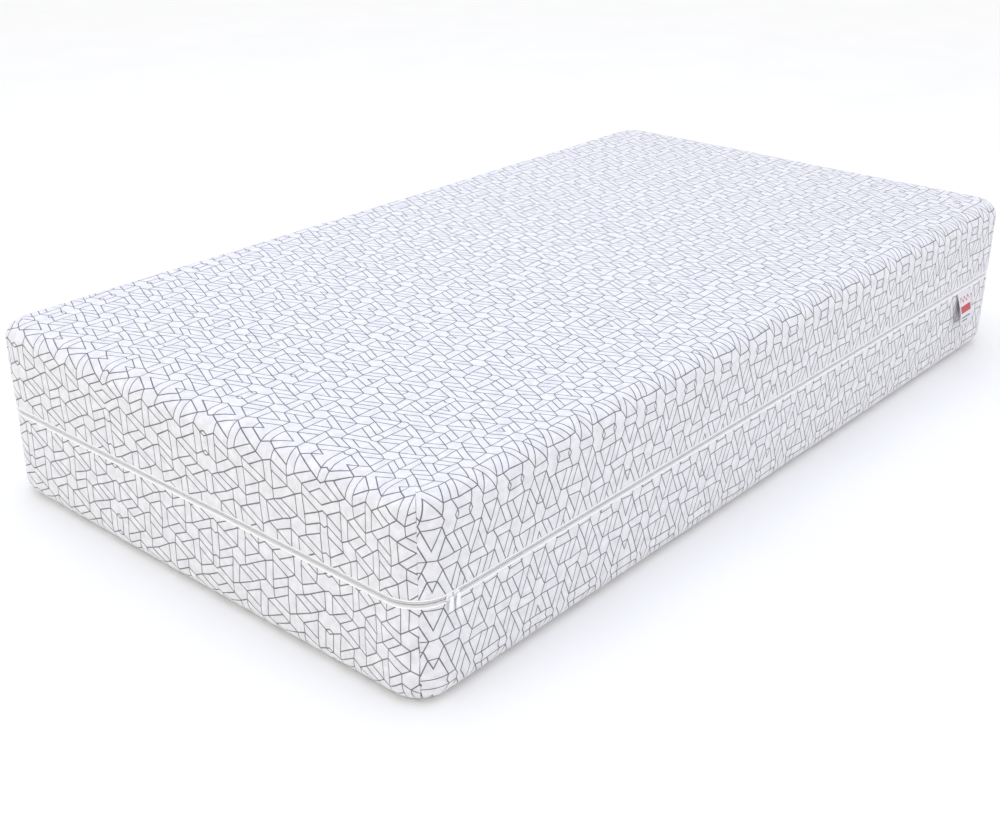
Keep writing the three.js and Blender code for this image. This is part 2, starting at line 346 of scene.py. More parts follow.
# ---- the flat cloth drawn over the mattress
MOST_BEND = 0.24         # the most that one edge of the draped cloth bends, in radians
WAVE = 0.0011            # how far the knit pulls the lines out of true
SWELL = 0.0011           # how far the walls and the top swell and sink
SWELL_PITCH = 5.5        # and how often, per metre
SEAM_WIDTH = 0.0022      # the cloth sinks this close to a corner seam
SEAM_DEPTH = 0.0001
HEM_WIDTH = 0.003        # and this close to the hem
HEM_DEPTH = 0.0009
TUCK = 0.0028            # how far its edges are turned inwards
LEAN = 0.052             # how far the pattern leans, per metre of length
FRONT_STRAIGHT = -0.57   # the lean starts here
LEAN_REACH = 0.26        # and is full this much farther back
END_START = 0.92         # the cloth is stretched over the left end from here
END_EASE = 0.03          # with this soft start
END_STRETCH = 0.22       # and by this share


def beyond(points):
    """How far points lie past the corner centres: along their own flap, and sideways towards the seam.
    Also says which of them belong to the long sides' flaps."""
    past_x = np.abs(points[:, 0]) - CORNER_X
    past_y = np.abs(points[:, 1]) - CORNER_Y
    on_long = past_y >= past_x
    return np.where(on_long, past_y, past_x), np.where(on_long, past_x, past_y), on_long


def seam_place(down):
    """How far sideways the corner seam lies, at each distance down the flap."""
    share = np.clip((down - FLAT_RADIUS) / ROLL, 0, 1)
    return np.where(
        down <= FLAT_RADIUS,
        down,
        FLAT_RADIUS + (CORNER_RADIUS * math.pi / 4 - FLAT_RADIUS) * np.sin(share * math.pi / 2),
    )


def seam_level(points):
    down, sideways, _ = beyond(points)
    return np.where((down > 0) & (sideways > 0), seam_place(down) - sideways, 1.0)


def bend(points):
    """How far the cloth at each point turns over the rolled edge, and round the corner, in radians."""
    down, sideways, _ = beyond(points)
    over = np.clip((down - FLAT_RADIUS) / EDGE_RADIUS, 0, math.pi / 2)
    lean = np.sin(over)
    corner = np.clip(sideways / seam_place(np.maximum(down, 1e-9)), 0, 1) * math.pi / 4
    return np.stack((over, lean * corner), axis=1)


def drape(points, relief):
    """Points of the flat cloth, laid over the top and down the sides, with their outward normals."""
    down, sideways, on_long = beyond(points)
    over = np.clip(down - FLAT_RADIUS, 0, None)
    angle = np.clip(over / EDGE_RADIUS, 0, math.pi / 2)
    radius = np.where(down <= FLAT_RADIUS, down, FLAT_RADIUS + EDGE_RADIUS * np.sin(angle))
    drop = EDGE_RADIUS * (1 - np.cos(angle)) + np.clip(over - ROLL, 0, None)
    in_corner = (sideways > 0) & (down > 0)
    safe = np.maximum(seam_place(np.maximum(down, 1e-9)), 1e-9)
    turn = np.where(in_corner, math.pi / 4 * np.clip(sideways / safe, 0, 1), 0.0)
    sign_x, sign_y = np.sign(points[:, 0]), np.sign(points[:, 1])
    flap_x = np.where(on_long, np.sin(turn), np.cos(turn)) * sign_x
    flap_y = np.where(on_long, np.cos(turn), np.sin(turn)) * sign_y
    down_side = down > 0
    x = np.where(down_side & (in_corner | ~on_long), sign_x * CORNER_X + radius * flap_x, points[:, 0])
    y = np.where(down_side & (in_corner | on_long), sign_y * CORNER_Y + radius * flap_y, points[:, 1])
    lean = np.where(down_side, np.sin(angle), 0.0)
    normals = np.stack((lean * flap_x, lean * flap_y, np.cos(angle)), axis=1)
    place = np.stack((x, y, HEIGHT - np.where(down_side, drop, 0.0)), axis=1)
    return place + normals * relief[:, None], normals


def wander(points):
    """A smooth, slow shift of the knit, which pulls the pattern's straight lines slightly out of true.
    The factors are wave numbers, in radians per metre."""
    x, y = points[:, 0], points[:, 1]
    shift_x = 0.7 * np.sin(31 * x + 17 * y + 1) + np.sin(83 * y - 29 * x + 2)
    shift_y = 0.7 * np.sin(27 * y - 21 * x + 3) + np.sin(79 * x + 35 * y + 1)
    fine_x = 0.35 * np.sin(187 * y + 61 * x + 5)
    fine_y = 0.45 * np.sin(173 * x - 71 * y + 4)
    return WAVE * np.stack((shift_x + fine_x, shift_y + fine_y), axis=1)


def pull(points):
    """How far the cloth was pulled when it was drawn on, as [x, y]. It leans along Y on the left half
    of the length, behind the front wall, and it is stretched along X over the left end."""
    behind = np.clip((points[:, 1] - FRONT_STRAIGHT) / LEAN_REACH, 0, 1)
    lean = LEAN * np.minimum(points[:, 0], 0) * behind ** 2 * (3 - 2 * behind)
    past = np.clip(-points[:, 0] - END_START, 0, None)
    return np.stack((-END_STRETCH * past ** 2 / (past + END_EASE), lean), axis=1)


def swell(places):
    """Slow hollows and swells of the soft walls and the top, in metres."""
    shift = Vector((1.0, 0, 0))
    return np.array([noise.noise(Vector(p) + shift) for p in places * SWELL_PITCH]) * SWELL


def new_object(name, data):
    """A new object in the scene."""
    made = bpy.data.objects.new(name, data)
    bpy.context.collection.objects.link(made)
    return made


def mesh_object(name, verts, tris, materials, tags=None, smooth=True):
    mesh = bpy.data.meshes.new(name)
    mesh.from_pydata([tuple(v) for v in verts], [], [tuple(int(i) for i in t) for t in tris])
    for item in materials:
        mesh.materials.append(item)
    if tags is not None:
        mesh.polygons.foreach_set("material_index", np.asarray(tags, dtype=np.int32))
    mesh.polygons.foreach_set("use_smooth", np.full(len(mesh.polygons), smooth))
    mesh.update()
    return new_object(name, mesh)


def cover_half(name, wall, row_0, flipped):
    """One half of the cover: a flat cut sheet with its four corner darts, draped and sewn.
    wall is its height from the end of the rolled edge to the hem. Returns the piece, size and area."""
    half_x = CORNER_X + FLAT_RADIUS + ROLL + wall
    half_y = CORNER_Y + FLAT_RADIUS + ROLL + wall
    verts, tris, tags = pattern_sheet(half_x, half_y, row_0)
    verts[:, :2] += pull(verts)
    verts[:, :2] += wander(verts)
    past = np.abs(verts[:, 1]) - CORNER_Y - np.abs(verts[:, 0]) + CORNER_X
    verts, tris, tags, _ = split(verts, tris, tags, past)
    for level in (
        seam_level,
        lambda p: half_x - np.abs(p[:, 0]),
        lambda p: half_y - np.abs(p[:, 1]),
    ):
        verts, tris, tags, sides = split(verts, tris, tags, level(verts))
        tris, tags = tris[sides > 0], tags[sides > 0]
    for level in (
        lambda p: seam_level(p) - SEAM_WIDTH,
        lambda p: half_x - HEM_WIDTH - np.abs(p[:, 0]),
        lambda p: half_y - HEM_WIDTH - np.abs(p[:, 1]),
    ):
        verts, tris, tags, _ = split(verts, tris, tags, level(verts))
    for _ in range(2):
        verts, tris, tags = refine(verts, tris, tags)
    used, index = np.unique(tris, return_inverse=True)
    verts, tris = verts[used], index.reshape(-1, 3)
    a, b, c = (verts[tris[:, k], :2] for k in range(3))
    ab, ac = b - a, c - a
    area = float(np.abs(ab[:, 0] * ac[:, 1] - ab[:, 1] * ac[:, 0]).sum() / 2)

    to_seam = np.where(beyond(verts)[0] > FLAT_RADIUS, seam_level(verts), 1.0)
    to_hem = np.minimum(half_x - np.abs(verts[:, 0]), half_y - np.abs(verts[:, 1]))
    relief = verts[:, 2].copy()
    relief -= (relief + SEAM_DEPTH) * np.clip(1 - to_seam / SEAM_WIDTH, 0, 1) ** 2
    relief -= (relief + HEM_DEPTH) * np.clip(1 - to_hem / HEM_WIDTH, 0, 1) ** 2
    places, normals = drape(verts, relief)
    places += normals * swell(places)[:, None]

    edges = np.vstack((tris[:, :2], tris[:, 1:], tris[:, [2, 0]]))
    _, first, uses = np.unique(np.sort(edges, axis=1), axis=0, return_index=True, return_counts=True)
    border = edges[first[uses == 1]]
    rim = np.unique(border)
    tucked = {int(v): len(places) + i for i, v in enumerate(rim)}
    places = np.vstack((places, places[rim] - normals[rim] * TUCK))
    skirt = []
    for i, j in border:
        skirt.extend(two_tris(j, i, tucked[int(i)], tucked[int(j)]))
    tris = np.vstack((tris, np.array(skirt)))
    tags = np.concatenate((tags, np.zeros(len(skirt), int)))
    if flipped:
        places[:, 2] = HEIGHT - places[:, 2]
        tris = tris[:, ::-1]
    piece = mesh_object(name, places, tris, [WHITE_KNIT, GREY_YARN], tags)
    return piece, (2 * half_x, 2 * half_y), area


# ---- materials
class Shader:
    """One procedural material: a principled shader and the nodes that feed it."""

    def __init__(self, name, roughness, sheen=0.0, coat=0.0):
        self.material = bpy.data.materials.new(name)
        self.material.use_nodes = True
        self.tree = self.material.node_tree
        self.shader = self.tree.nodes["Principled BSDF"]
        self.shader.inputs["Roughness"].default_value = roughness
        self.shader.inputs["Sheen Weight"].default_value = sheen
        self.shader.inputs["Coat Weight"].default_value = coat
        self.place = self.tree.nodes.new("ShaderNodeTexCoord").outputs["Object"]

    def add(self, kind, inputs=(), **settings):
        node = self.tree.nodes.new(kind)
        for key, value in settings.items():
            setattr(node, key, value)
        for socket, value in dict(inputs).items():
            if isinstance(value, bpy.types.NodeSocket):
                self.tree.links.new(value, node.inputs[socket])
            else:
                node.inputs[socket].default_value = value
        return node.outputs

    def texture(self, kind, scale, inputs, **settings):
        return self.add(kind, {"Vector": self.place, "Scale": scale, **inputs}, **settings)

    def noise(self, scale, detail=2.0):
        return self.texture("ShaderNodeTexNoise", scale, {"Detail": detail})["Fac"]

    def cells(self, scale, stretch=(1.0, 1.0, 1.0)):
        place = self.texture("ShaderNodeMapping", stretch, {})["Vector"]
        return self.texture("ShaderNodeTexVoronoi", scale, {"Vector": place})["Distance"]

    def waves(self, scale, direction, distortion=0.0):
        inputs = {"Distortion": distortion}
        return self.texture("ShaderNodeTexWave", scale, inputs, bands_direction=direction)["Fac"]

    def math(self, kind, a, b):
        return self.add("ShaderNodeMath", {0: a, 1: b}, operation=kind)["Value"]

    def mix(self, a, b, share):
        """Two values added, with that share of b."""
        return self.math("ADD", self.math("MULTIPLY", a, 1 - share), self.math("MULTIPLY", b, share))

    def ramp(self, fac, low, dark, high, light):
        node = self.tree.nodes.new("ShaderNodeValToRGB")
        for element, position, colour in zip(node.color_ramp.elements, (low, high), (dark, light)):
            element.position = position
            element.color = (*colour, 1)
        self.tree.links.new(fac, node.inputs["Fac"])
        return node.outputs["Color"]

    def colour(self, socket):
        self.tree.links.new(socket, self.shader.inputs["Base Color"])

    def bump(self, height, distance, strength=1.0, below=None):
        inputs = {"Height": height, "Distance": distance, "Strength": strength}
        if below is not None:
            inputs["Normal"] = below
        normal = self.add("ShaderNodeBump", inputs)["Normal"]
        self.tree.links.new(normal, self.shader.inputs["Normal"])
        return normal


def knit_material(name, light, dark, sheen=0.25):
    """Stretch knit: rows of small loops, fine fuzz, and patches of lighter and darker tone about 17 mm
    across, partly the knit's own tone and partly painted shade that stands in for the relief shading of the
    puffed cells.
    """
    knit = Shader(name, 0.88, sheen)
    fleck = knit.noise(900.0)
    # painted shade: the noise at 60 per metre lightens and darkens the knit in patches, partly its own tone
    # and partly standing in for the shading of the puffed cells
    knit.colour(knit.ramp(knit.mix(knit.noise(60.0, 4.0), fleck, 0.4), 0.36, dark, 0.64, light))
    below = knit.bump(knit.cells(720.0, (1.0, 1.0, 1.35)), 0.00035, 0.55)
    knit.bump(fleck, 0.00015, 0.4, below)
    return knit.material


def woven_material(name, light, dark, scale=900.0, sheen=0.15, roughness=0.75):
    """Woven tape: fine ribs across a fine grain."""
    woven = Shader(name, roughness, sheen)
    mixed = woven.mix(woven.waves(scale, "DIAGONAL", 0.6), woven.noise(1300.0), 0.5)
    woven.colour(woven.ramp(mixed, 0.25, dark, 0.75, light))
    woven.bump(mixed, 0.0002, 0.6)
    return woven.material


def nylon_material(name, light, dark):
    nylon = Shader(name, 0.42, coat=0.15)
    nylon.colour(nylon.ramp(nylon.noise(260.0), 0.3, dark, 0.7, light))
    nylon.bump(nylon.noise(1800.0), 0.00005, 0.3)
    return nylon.material


def enamel_material(name, light, dark):
    enamel = Shader(name, 0.28, coat=0.4)
    enamel.colour(enamel.ramp(enamel.noise(420.0, 3.0), 0.25, dark, 0.75, light))
    enamel.bump(enamel.noise(900.0, 3.0), 0.00006, 0.35)
    return enamel.material


def foam_material(name, light, dark, cell_scale):
    """Open-cell foam: small pores of mixed size and a slow change of tone."""
    foam = Shader(name, 0.95, 0.1)
    pores = foam.cells(cell_scale)
    tone = foam.math("MULTIPLY", foam.noise(5.0, 3.0), 0.5)
    mixed = foam.math("ADD", foam.math("MULTIPLY", pores, 0.6), tone)
    foam.colour(foam.ramp(mixed, 0.25, dark, 0.65, light))
    below = foam.bump(pores, 0.0006, 0.7)
    foam.bump(foam.cells(cell_scale * 0.31), 0.0009, 0.4, below)
    return foam.material


WHITE_KNIT = knit_material("white_knit", (0.845, 0.84, 0.865), (0.68, 0.675, 0.70))
GREY_YARN = knit_material("grey_yarn", (0.22, 0.22, 0.235), (0.12, 0.12, 0.13), 0.1)
TAPE_CLOTH = woven_material("white_tape", (1.0, 1.0, 1.0), (0.96, 0.96, 0.97), sheen=0.6)
COIL_NYLON = nylon_material("coil_nylon", (0.98, 0.98, 1.0), (0.92, 0.92, 0.94))
THREAD = woven_material("white_thread", (0.96, 0.96, 0.97), (0.86, 0.86, 0.87), 1500.0)
ENAMEL = enamel_material("slider_enamel", (0.96, 0.96, 0.97), (0.9, 0.9, 0.91))
RIBBON = woven_material("pull_ribbon", (0.98, 0.98, 0.99), (0.9, 0.9, 0.91), 1100.0, 0.5)
SOCK_KNIT = knit_material("sock_knit", (0.8, 0.78, 0.73), (0.7, 0.68, 0.63))
MEMORY_FOAM = foam_material("memory_foam", (0.9, 0.83, 0.62), (0.78, 0.7, 0.5), 900.0)
TRANSITION_FOAM = foam_material("transition_foam", (0.62, 0.74, 0.86), (0.5, 0.62, 0.75), 620.0)
BASE_FOAM = foam_material("base_foam", (0.88, 0.87, 0.8), (0.74, 0.73, 0.66), 520.0)


# ---- paths and sweeps round the mattress
STRAIGHT_X = 2 * CORNER_X
STRAIGHT_Y = 2 * CORNER_Y
ARC = CORNER_RADIUS * math.pi / 2
ARC_STEPS = 14
PERIMETER = 2 * (STRAIGHT_X + STRAIGHT_Y + 2 * ARC)


def round_path(distances):
    """Places on the cover's outline, at those distances from the middle of the front, and which way
    each faces. The path starts on the -Y side and runs towards +X, and so anticlockwise from above."""
    places, facings = [], []
    for distance in np.asarray(distances) % PERIMETER:
        left = distance + STRAIGHT_X / 2
        for quarter in range(5):
            straight = (STRAIGHT_X, STRAIGHT_Y)[quarter % 2]
            angle = (quarter - 1) * math.pi / 2
            if left <= straight + ARC:
                break
            left -= straight + ARC
        facing = angle + max(0.0, left - straight) / CORNER_RADIUS
        corner_sign = ((1, -1), (1, 1), (-1, 1), (-1, -1), (1, -1))[quarter]
        corner = np.array((corner_sign[0] * CORNER_X, corner_sign[1] * CORNER_Y))
        along = np.array((-math.sin(angle), math.cos(angle)))
        out = np.array((math.cos(facing), math.sin(facing)))
        back = max(0.0, straight - left)
        places.append(corner + out * CORNER_RADIUS - along * back)
        facings.append(out)
    return np.array(places), np.array(facings)


def path_steps(longest):
    """Distances for a sweep round the mattress: close together on the corners, longest elsewhere."""
    spans = []
    for straight in (STRAIGHT_X / 2, STRAIGHT_Y, STRAIGHT_X, STRAIGHT_Y, STRAIGHT_X / 2):
        count = math.ceil(straight / longest)
        spans += [straight / count] * count + [ARC / ARC_STEPS] * ARC_STEPS
    return np.concatenate(([0.0], np.cumsum(spans[:-ARC_STEPS - 1])))


def heading(points, i):
    """The unit direction of a path at its point i."""
    along = np.subtract(points[min(i + 1, len(points) - 1)], points[max(i - 1, 0)])
    return along / np.linalg.norm(along)


def skin(count, size, closed=False):
    """Triangles between rings of vertices, which are listed one ring after the other."""
    tris = []
    for i in range(count if closed else count - 1):
        here, after = i * size, (i + 1) % count * size
        for k in range(size):
            turn = (k + 1) % size
            tris.extend(two_tris(here + k, here + turn, after + turn, after + k))
    return tris


def solid(rings):
    """A solid through rings of points, closed at both ends. Each ring's first points lie across from
    its last ones."""
    size = len(rings[0])
    last = (len(rings) - 1) * size
    tris = skin(len(rings), size)
    for k in range(size // 2 - 1):
        a, b, c, d = k, k + 1, size - 2 - k, size - 1 - k
        tris.extend(two_tris(d, c, b, a))
        tris.extend(two_tris(last + a, last + b, last + c, last + d))
    return [tuple(point) for ring in rings for point in ring], tris


def sweep(profile, longest, ripple=0.0, phase=0):
    """A closed band round the mattress. profile is a closed loop of [depth, height above the zip]."""
    stops = path_steps(longest)
    verts = []
    for stop, place, facing in zip(stops, *round_path(stops)):
        lift = ripple * math.sin(stop * 47 + phase) * math.sin(stop * 13.7 + 2 * phase)
        verts.extend((*(place - facing * depth), ZIP_Z + height + lift) for depth, height in profile)
    return np.array(verts), np.array(skin(len(stops), len(profile), closed=True))[:, ::-1]


def join(parts):
    """One list of vertices and of triangles from several."""
    verts, tris, offset = [], [], 0
    for part_verts, part_tris in parts:
        verts.append(np.asarray(part_verts, float))
        tris.append(np.asarray(part_tris, int) + offset)
        offset += len(part_verts)
    return np.vstack(verts), np.vstack(tris)


def tube(centres, radii, sides):
    """A closed round bar through centres."""
    rings = []
    for i, (centre, radius) in enumerate(zip(centres, radii)):
        along = heading(centres, i)
        side = np.cross(along, (0, 0, 1.0))
        side /= np.linalg.norm(side)
        up = np.cross(side, along)
        angles = [math.tau * k / sides for k in range(sides)]
        rings.append([centre + (side * math.cos(a) + up * math.sin(a)) * radius for a in angles])
    return solid(rings)


def stitch(x, y, z, half, sink, radius):
    """One machine stitch: a short thread that dives into the cloth at both ends."""
    points = [(x - half, y + sink, z), (x, y - 0.0001, z), (x + half, y + sink, z)]
    return tube(points, [radius - 0.00004, radius, radius - 0.00004], 6)


# ---- the zip
TOOTH_PITCH = 0.0018
TOOTH_LEAN = 0.0003       # how far along the zip a tooth's points lie from each other
TOOTH = [                 # its path, as [depth, height from the zip, half its width, half its height]
    (0.0027, 0.0035, 0.00036, 0.00030), (0.0010, 0.0036, 0.00040, 0.00034),
    (0.0008, 0.0023, 0.00042, 0.00036), (0.0009, 0.0011, 0.00058, 0.00038),
    (0.0022, 0.0010, 0.00050, 0.00034),
]
THREAD_DEPTH = 0.00072
THREAD_RADIUS = 0.0002
THREAD_HEIGHTS = (0.0021, 0.0029)
RIB_FRONT = [             # the fold that binds the hem to the tape, as [depth, height from the zip]
    (0.0030, 0.0043), (0.0016, 0.0044), (0.0008, 0.0048), (0.0001, 0.0054), (-0.0008, 0.0058),
    (-0.0013, 0.0063), (-0.0012, 0.0069), (-0.0005, 0.0074), (0.0006, 0.0077), (0.0032, 0.0078),
]


def zip_tape(name, side):
    """A woven tape: flat under the coil and behind the hem, with the rounded white fold between them."""
    front = [(0.0034, 0.0017), (0.0033, 0.0041), *RIB_FRONT, (0.0034, 0.0082), (0.0034, 0.0148)]
    back = [(0.0041, 0.0148), (0.0041, 0.0017)]
    profile = [(depth, side * height) for depth, height in front + back]
    if side < 0:
        profile.reverse()
    verts, tris = sweep(profile, 0.02, 0.00012, side)
    return mesh_object(name, verts, tris, [TAPE_CLOTH])


def tooth(side):
    """One tooth of the coil: vertices as [place along the zip, depth, height from the zip]."""
    rings = []
    for i, (depth, height, half_width, half_height) in enumerate(TOOTH):
        inward, upward = heading([point[:2] for point in TOOTH], i) * half_height
        lean = TOOTH_LEAN * (i - 2)
        rings.append([
            (run * half_width + lean, depth + upward * rise, side * (height - inward * rise))
            for run, rise in ((1, 0), (0, 1), (-1, 0), (0, -1))
        ])
    verts, tris = solid(rings)
    return np.array(verts), np.array(tris)[:, ::-side]


def zip_coil(name, side):
    """One row of nylon teeth round the mattress, with the two threads that sew it to its tape."""
    count = int(PERIMETER / TOOTH_PITCH)
    shift = 0.5 * (side < 0)
    centres, facings = round_path((np.arange(count) + shift) * PERIMETER / count)
    runs = np.stack((-facings[:, 1], facings[:, 0]), axis=1)
    template, faces = tooth(side)
    flat = centres[:, None, :] + runs[:, None, :] * template[None, :, 0, None]
    flat = flat - facings[:, None, :] * template[None, :, 1, None]
    heights = np.broadcast_to(ZIP_Z + template[None, :, 2], flat.shape[:2])
    verts = np.concatenate((flat, heights[:, :, None]), axis=2).reshape(-1, 3)
    tris = (faces[None] + len(template) * np.arange(count)[:, None, None]).reshape(-1, 3)
    angles = [math.tau * k / 5 for k in range(5)]
    threads = join([
        sweep([
            (THREAD_DEPTH - THREAD_RADIUS * math.cos(a), side * height + THREAD_RADIUS * math.sin(a))
            for a in angles
        ], 0.05)
        for height in THREAD_HEIGHTS
    ])
    all_verts, all_tris = join([(verts, tris), threads])
    tags = [0] * len(tris) + [1] * len(threads[1])
    return mesh_object(name, all_verts, all_tris, [COIL_NYLON, THREAD], tags)


# ---- sliders and pulls
SLIDER_HALF = 0.0066      # half a slider's length
NOSE = 0.0022             # length of its rounded nose
TOP_PLATE = (0.0052, -0.0014, 0.0003, 0.00035)    # half height, front, back and bevel
BACK_PLATE = (0.0046, 0.0049, 0.0059, 0.0003)
WEB_HALF = 0.00024        # half the height of the web that joins its plates
BAIL_FOOT = -0.0009       # depth of the feet of the bail, which is the bar that holds the pull
BAR_DEPTH = -0.0041       # depth of the bail's middle
BAR_RADIUS = 0.0008
RIBBON_HALF = 0.00502     # half the ribbon's width
RIBBON_NARROW = 0.0007    # how much each of its edges is drawn in at the bar
RIBBON_THICK = 0.0007
RIBBON_LOOP = 0.00175     # radius of its turn round the bar
PLY_SPREAD = 0.00042      # how far each ply hangs from the bar's middle
END_GAP = 0.0004          # how much shorter than its CAD node a ribbon or the label is


def bevelled(bm, width):
    sharp = [e for e in bm.edges if len(e.link_faces) == 2 and e.calc_face_angle(0) > 0.5]
    bmesh.ops.bevel(bm, geom=sharp, offset=width, segments=2, profile=0.6, affect="EDGES")


def prism(outline, front, back, bevel):
    """A flat plate with that outline of [x, z], from one depth to another, with rounded edges."""
    bm = bmesh.new()
    face = bm.faces.new([bm.verts.new((x, front, z)) for x, z in outline])
    grown = bmesh.ops.extrude_face_region(bm, geom=[face])
    for item in grown["geom"]:
        if isinstance(item, bmesh.types.BMVert):
            item.co.y = back
    bmesh.ops.recalc_face_normals(bm, faces=bm.faces)
    bevelled(bm, bevel)
    bmesh.ops.triangulate(bm, faces=bm.faces)
    bm.verts.ensure_lookup_table()
    verts = [tuple(v.co) for v in bm.verts]
    tris = [tuple(v.index for v in f.verts) for f in bm.faces]
    bm.free()
    return verts, tris


def flattened(value, power):
    """A sine or cosine, drawn out towards 1 and -1."""
    return math.copysign(abs(value) ** power, value)


def slider_outline(half_height, nose):
    """A slider plate seen from the front: a broad rounded nose, and shoulders that taper to the tail."""
    points = []
    for k in range(9):
        angle = -math.pi / 2 + math.pi * k / 8
        points.append((
            SLIDER_HALF - NOSE + NOSE * max(0.0, math.cos(angle)) ** 0.6,
            half_height * flattened(math.sin(angle), 0.55),
        ))
    points += [
        (0.0, half_height), (-SLIDER_HALF + 0.0030, half_height * 0.86),
        (-SLIDER_HALF + 0.0007, half_height * 0.74), (-SLIDER_HALF, half_height * 0.6),
    ]
    points += [(x, -z) for x, z in reversed(points[-3:])]
    points += [(0.0, -half_height)]
    return [(nose * x, z) for x, z in points][:: int(nose)]


def rectangle(low_x, high_x, low_z, high_z):
    return [(low_x, low_z), (high_x, low_z), (high_x, high_z), (low_x, high_z)]


def zip_slider(name, node, nose):
    """A white enamelled slider: two shaped plates, flanges over the coils, a thin web and a bail."""
    low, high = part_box(node)
    parts = [
        prism(slider_outline(half_height, nose), front, back, bevel)
        for half_height, front, back, bevel in (TOP_PLATE, BACK_PLATE)
    ]
    for side in (-1, 1):
        outline = [(x, side * z) for x, z in rectangle(-0.0044, 0.0044, 0.0040, 0.0051)][::side]
        parts.append(prism(outline, -0.0002, 0.0029, 0.0002))
    web_x = nose * (SLIDER_HALF - 0.0018)
    web = rectangle(web_x - 0.0006, web_x + 0.0006, -WEB_HALF, WEB_HALF)
    parts.append(prism(web, -0.0002, 0.0052, 0.00005))
    arch = []
    for k in range(17):
        angle = math.pi * k / 16
        run = -flattened(math.cos(angle), 0.35) * (SLIDER_HALF - 0.0011)
        arch.append((run, BAIL_FOOT + (BAR_DEPTH - BAIL_FOOT) * math.sin(angle) ** 0.35, 0))
    parts.append(tube(arch, [BAR_RADIUS] * len(arch), 10))
    verts, tris = join(parts)
    return mesh_object(name, verts + ((low.x + high.x) / 2, -WIDTH / 2, ZIP_Z), tris, [ENAMEL])


def ribbon_path(length):
    """The folded ribbon seen from its edge, as [depth, height]: up the front ply, round the bar and
    down the back ply."""
    ply = [
        (PLY_SPREAD, -length), (PLY_SPREAD * 1.1, -length * 0.75), (PLY_SPREAD, -length * 0.45),
        (RIBBON_LOOP * 0.8, -RIBBON_LOOP * 1.5),
    ]
    points = [(BAR_DEPTH - depth, height) for depth, height in ply]
    for k in range(13):
        angle = math.pi * (1.12 - 1.24 * k / 12)
        points.append((BAR_DEPTH + RIBBON_LOOP * math.cos(angle), RIBBON_LOOP * math.sin(angle)))
    return points + [(BAR_DEPTH + depth, height) for depth, height in reversed(ply)]


def zip_pull(name, node, phase):
    """A ribbon folded round the slider's bar, its two plies stitched together below the bar.
    Also gives the ribbon's size before it was folded."""
    low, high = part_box(node)
    middle_x = (low.x + high.x) / 2
    length = ZIP_Z - low.z - END_GAP
    path = ribbon_path(length)
    rings = []
    for i, (depth, height) in enumerate(path):
        along = heading(path, i)
        drop = np.clip(-height / length, 0, 1)
        half_width = RIBBON_HALF - RIBBON_NARROW * math.cos(min(1.0, drop * 1.6) * math.pi / 2)
        ring = []
        for half_thick, shares in ((-RIBBON_THICK / 2, range(-3, 4)), (RIBBON_THICK / 2, range(3, -4, -1))):
            for share in (k / 3 for k in shares):
                bow = 0.00022 * drop * math.sin(share * 2.2 + phase)
                rounding = 0.0005 * share ** 4 * (drop > 0.95)
                ring.append((
                    middle_x + share * half_width,
                    -WIDTH / 2 + depth + bow - along[1] * half_thick,
                    ZIP_Z + height + along[0] * half_thick + rounding,
                ))
        rings.append(ring)
    parts = [solid(rings)]
    for row in (0.28, 0.82):
        for k in range(6):
            x = middle_x + (k - 2.5) * 0.00145
            y = -WIDTH / 2 + BAR_DEPTH - 0.00082
            parts.append(stitch(x, y, ZIP_Z - length * row, 0.0005, 0.0003, 0.00022))
    verts, tris = join(parts)
    tags = [0] * len(parts[0][1]) + [1] * (len(tris) - len(parts[0][1]))
    piece = mesh_object(name, verts, tris, [RIBBON, THREAD], tags)
    return piece, (2 * RIBBON_HALF, sum(math.dist(a, b) for a, b in zip(path, path[1:])))


# ---- the side label
LABEL_CURL = 0.020        # how far its free end stands off
LABEL_DEPTH = 0.0008      # how far its sewn edge stands off
LABEL_HALF = 0.00026      # half its thickness
LABEL_HEM = 0.00012       # added to that where it is hemmed


def label_material():
    """White satin with a plain printed device: a red wave, a red bar and two thin dark lines."""
    satin = Shader("label_satin", 0.5, 0.2)
    uv = satin.add("ShaderNodeTexCoord")["UV"]
    axes = satin.add("ShaderNodeSeparateXYZ", {"Vector": uv})
    across, down = axes["X"], axes["Y"]

    def between(value, low, high):
        above = satin.math("GREATER_THAN", value, low)
        return satin.math("MULTIPLY", above, satin.math("LESS_THAN", value, high))

    def box(left, right, top, bottom):
        return satin.math("MULTIPLY", between(across, left, right), between(down, top, bottom))

    wave = satin.math("MULTIPLY", satin.math("SINE", satin.math("MULTIPLY", across, 22.0), 0.0), 0.06)
    level = satin.math("SUBTRACT", down, wave)
    ribbon = satin.math("MULTIPLY", between(level, 0.22, 0.27), between(across, 0.1, 0.9))
    red = satin.math("MAXIMUM", ribbon, box(0.08, 0.92, 0.42, 0.63))
    dark = satin.math("MAXIMUM", box(0.12, 0.84, 0.75, 0.79), box(0.12, 0.6, 0.85, 0.89))
    weave = satin.noise(1400.0)
    white = satin.ramp(weave, 0.3, (0.66, 0.65, 0.7), 0.7, (0.76, 0.75, 0.8))
    printed = satin.ramp(weave, 0.3, (0.42, 0.012, 0.02), 0.7, (0.56, 0.02, 0.03))
    ink = satin.ramp(weave, 0.3, (0.03, 0.03, 0.035), 0.7, (0.07, 0.07, 0.08))
    with_red = satin.add("ShaderNodeMix", {0: red, 6: white, 7: printed}, data_type="RGBA")[2]
    satin.colour(satin.add("ShaderNodeMix", {0: dark, 6: with_red, 7: ink}, data_type="RGBA")[2])
    satin.bump(satin.waves(1600.0, "Z"), 0.00008, 0.4)
    return satin.material


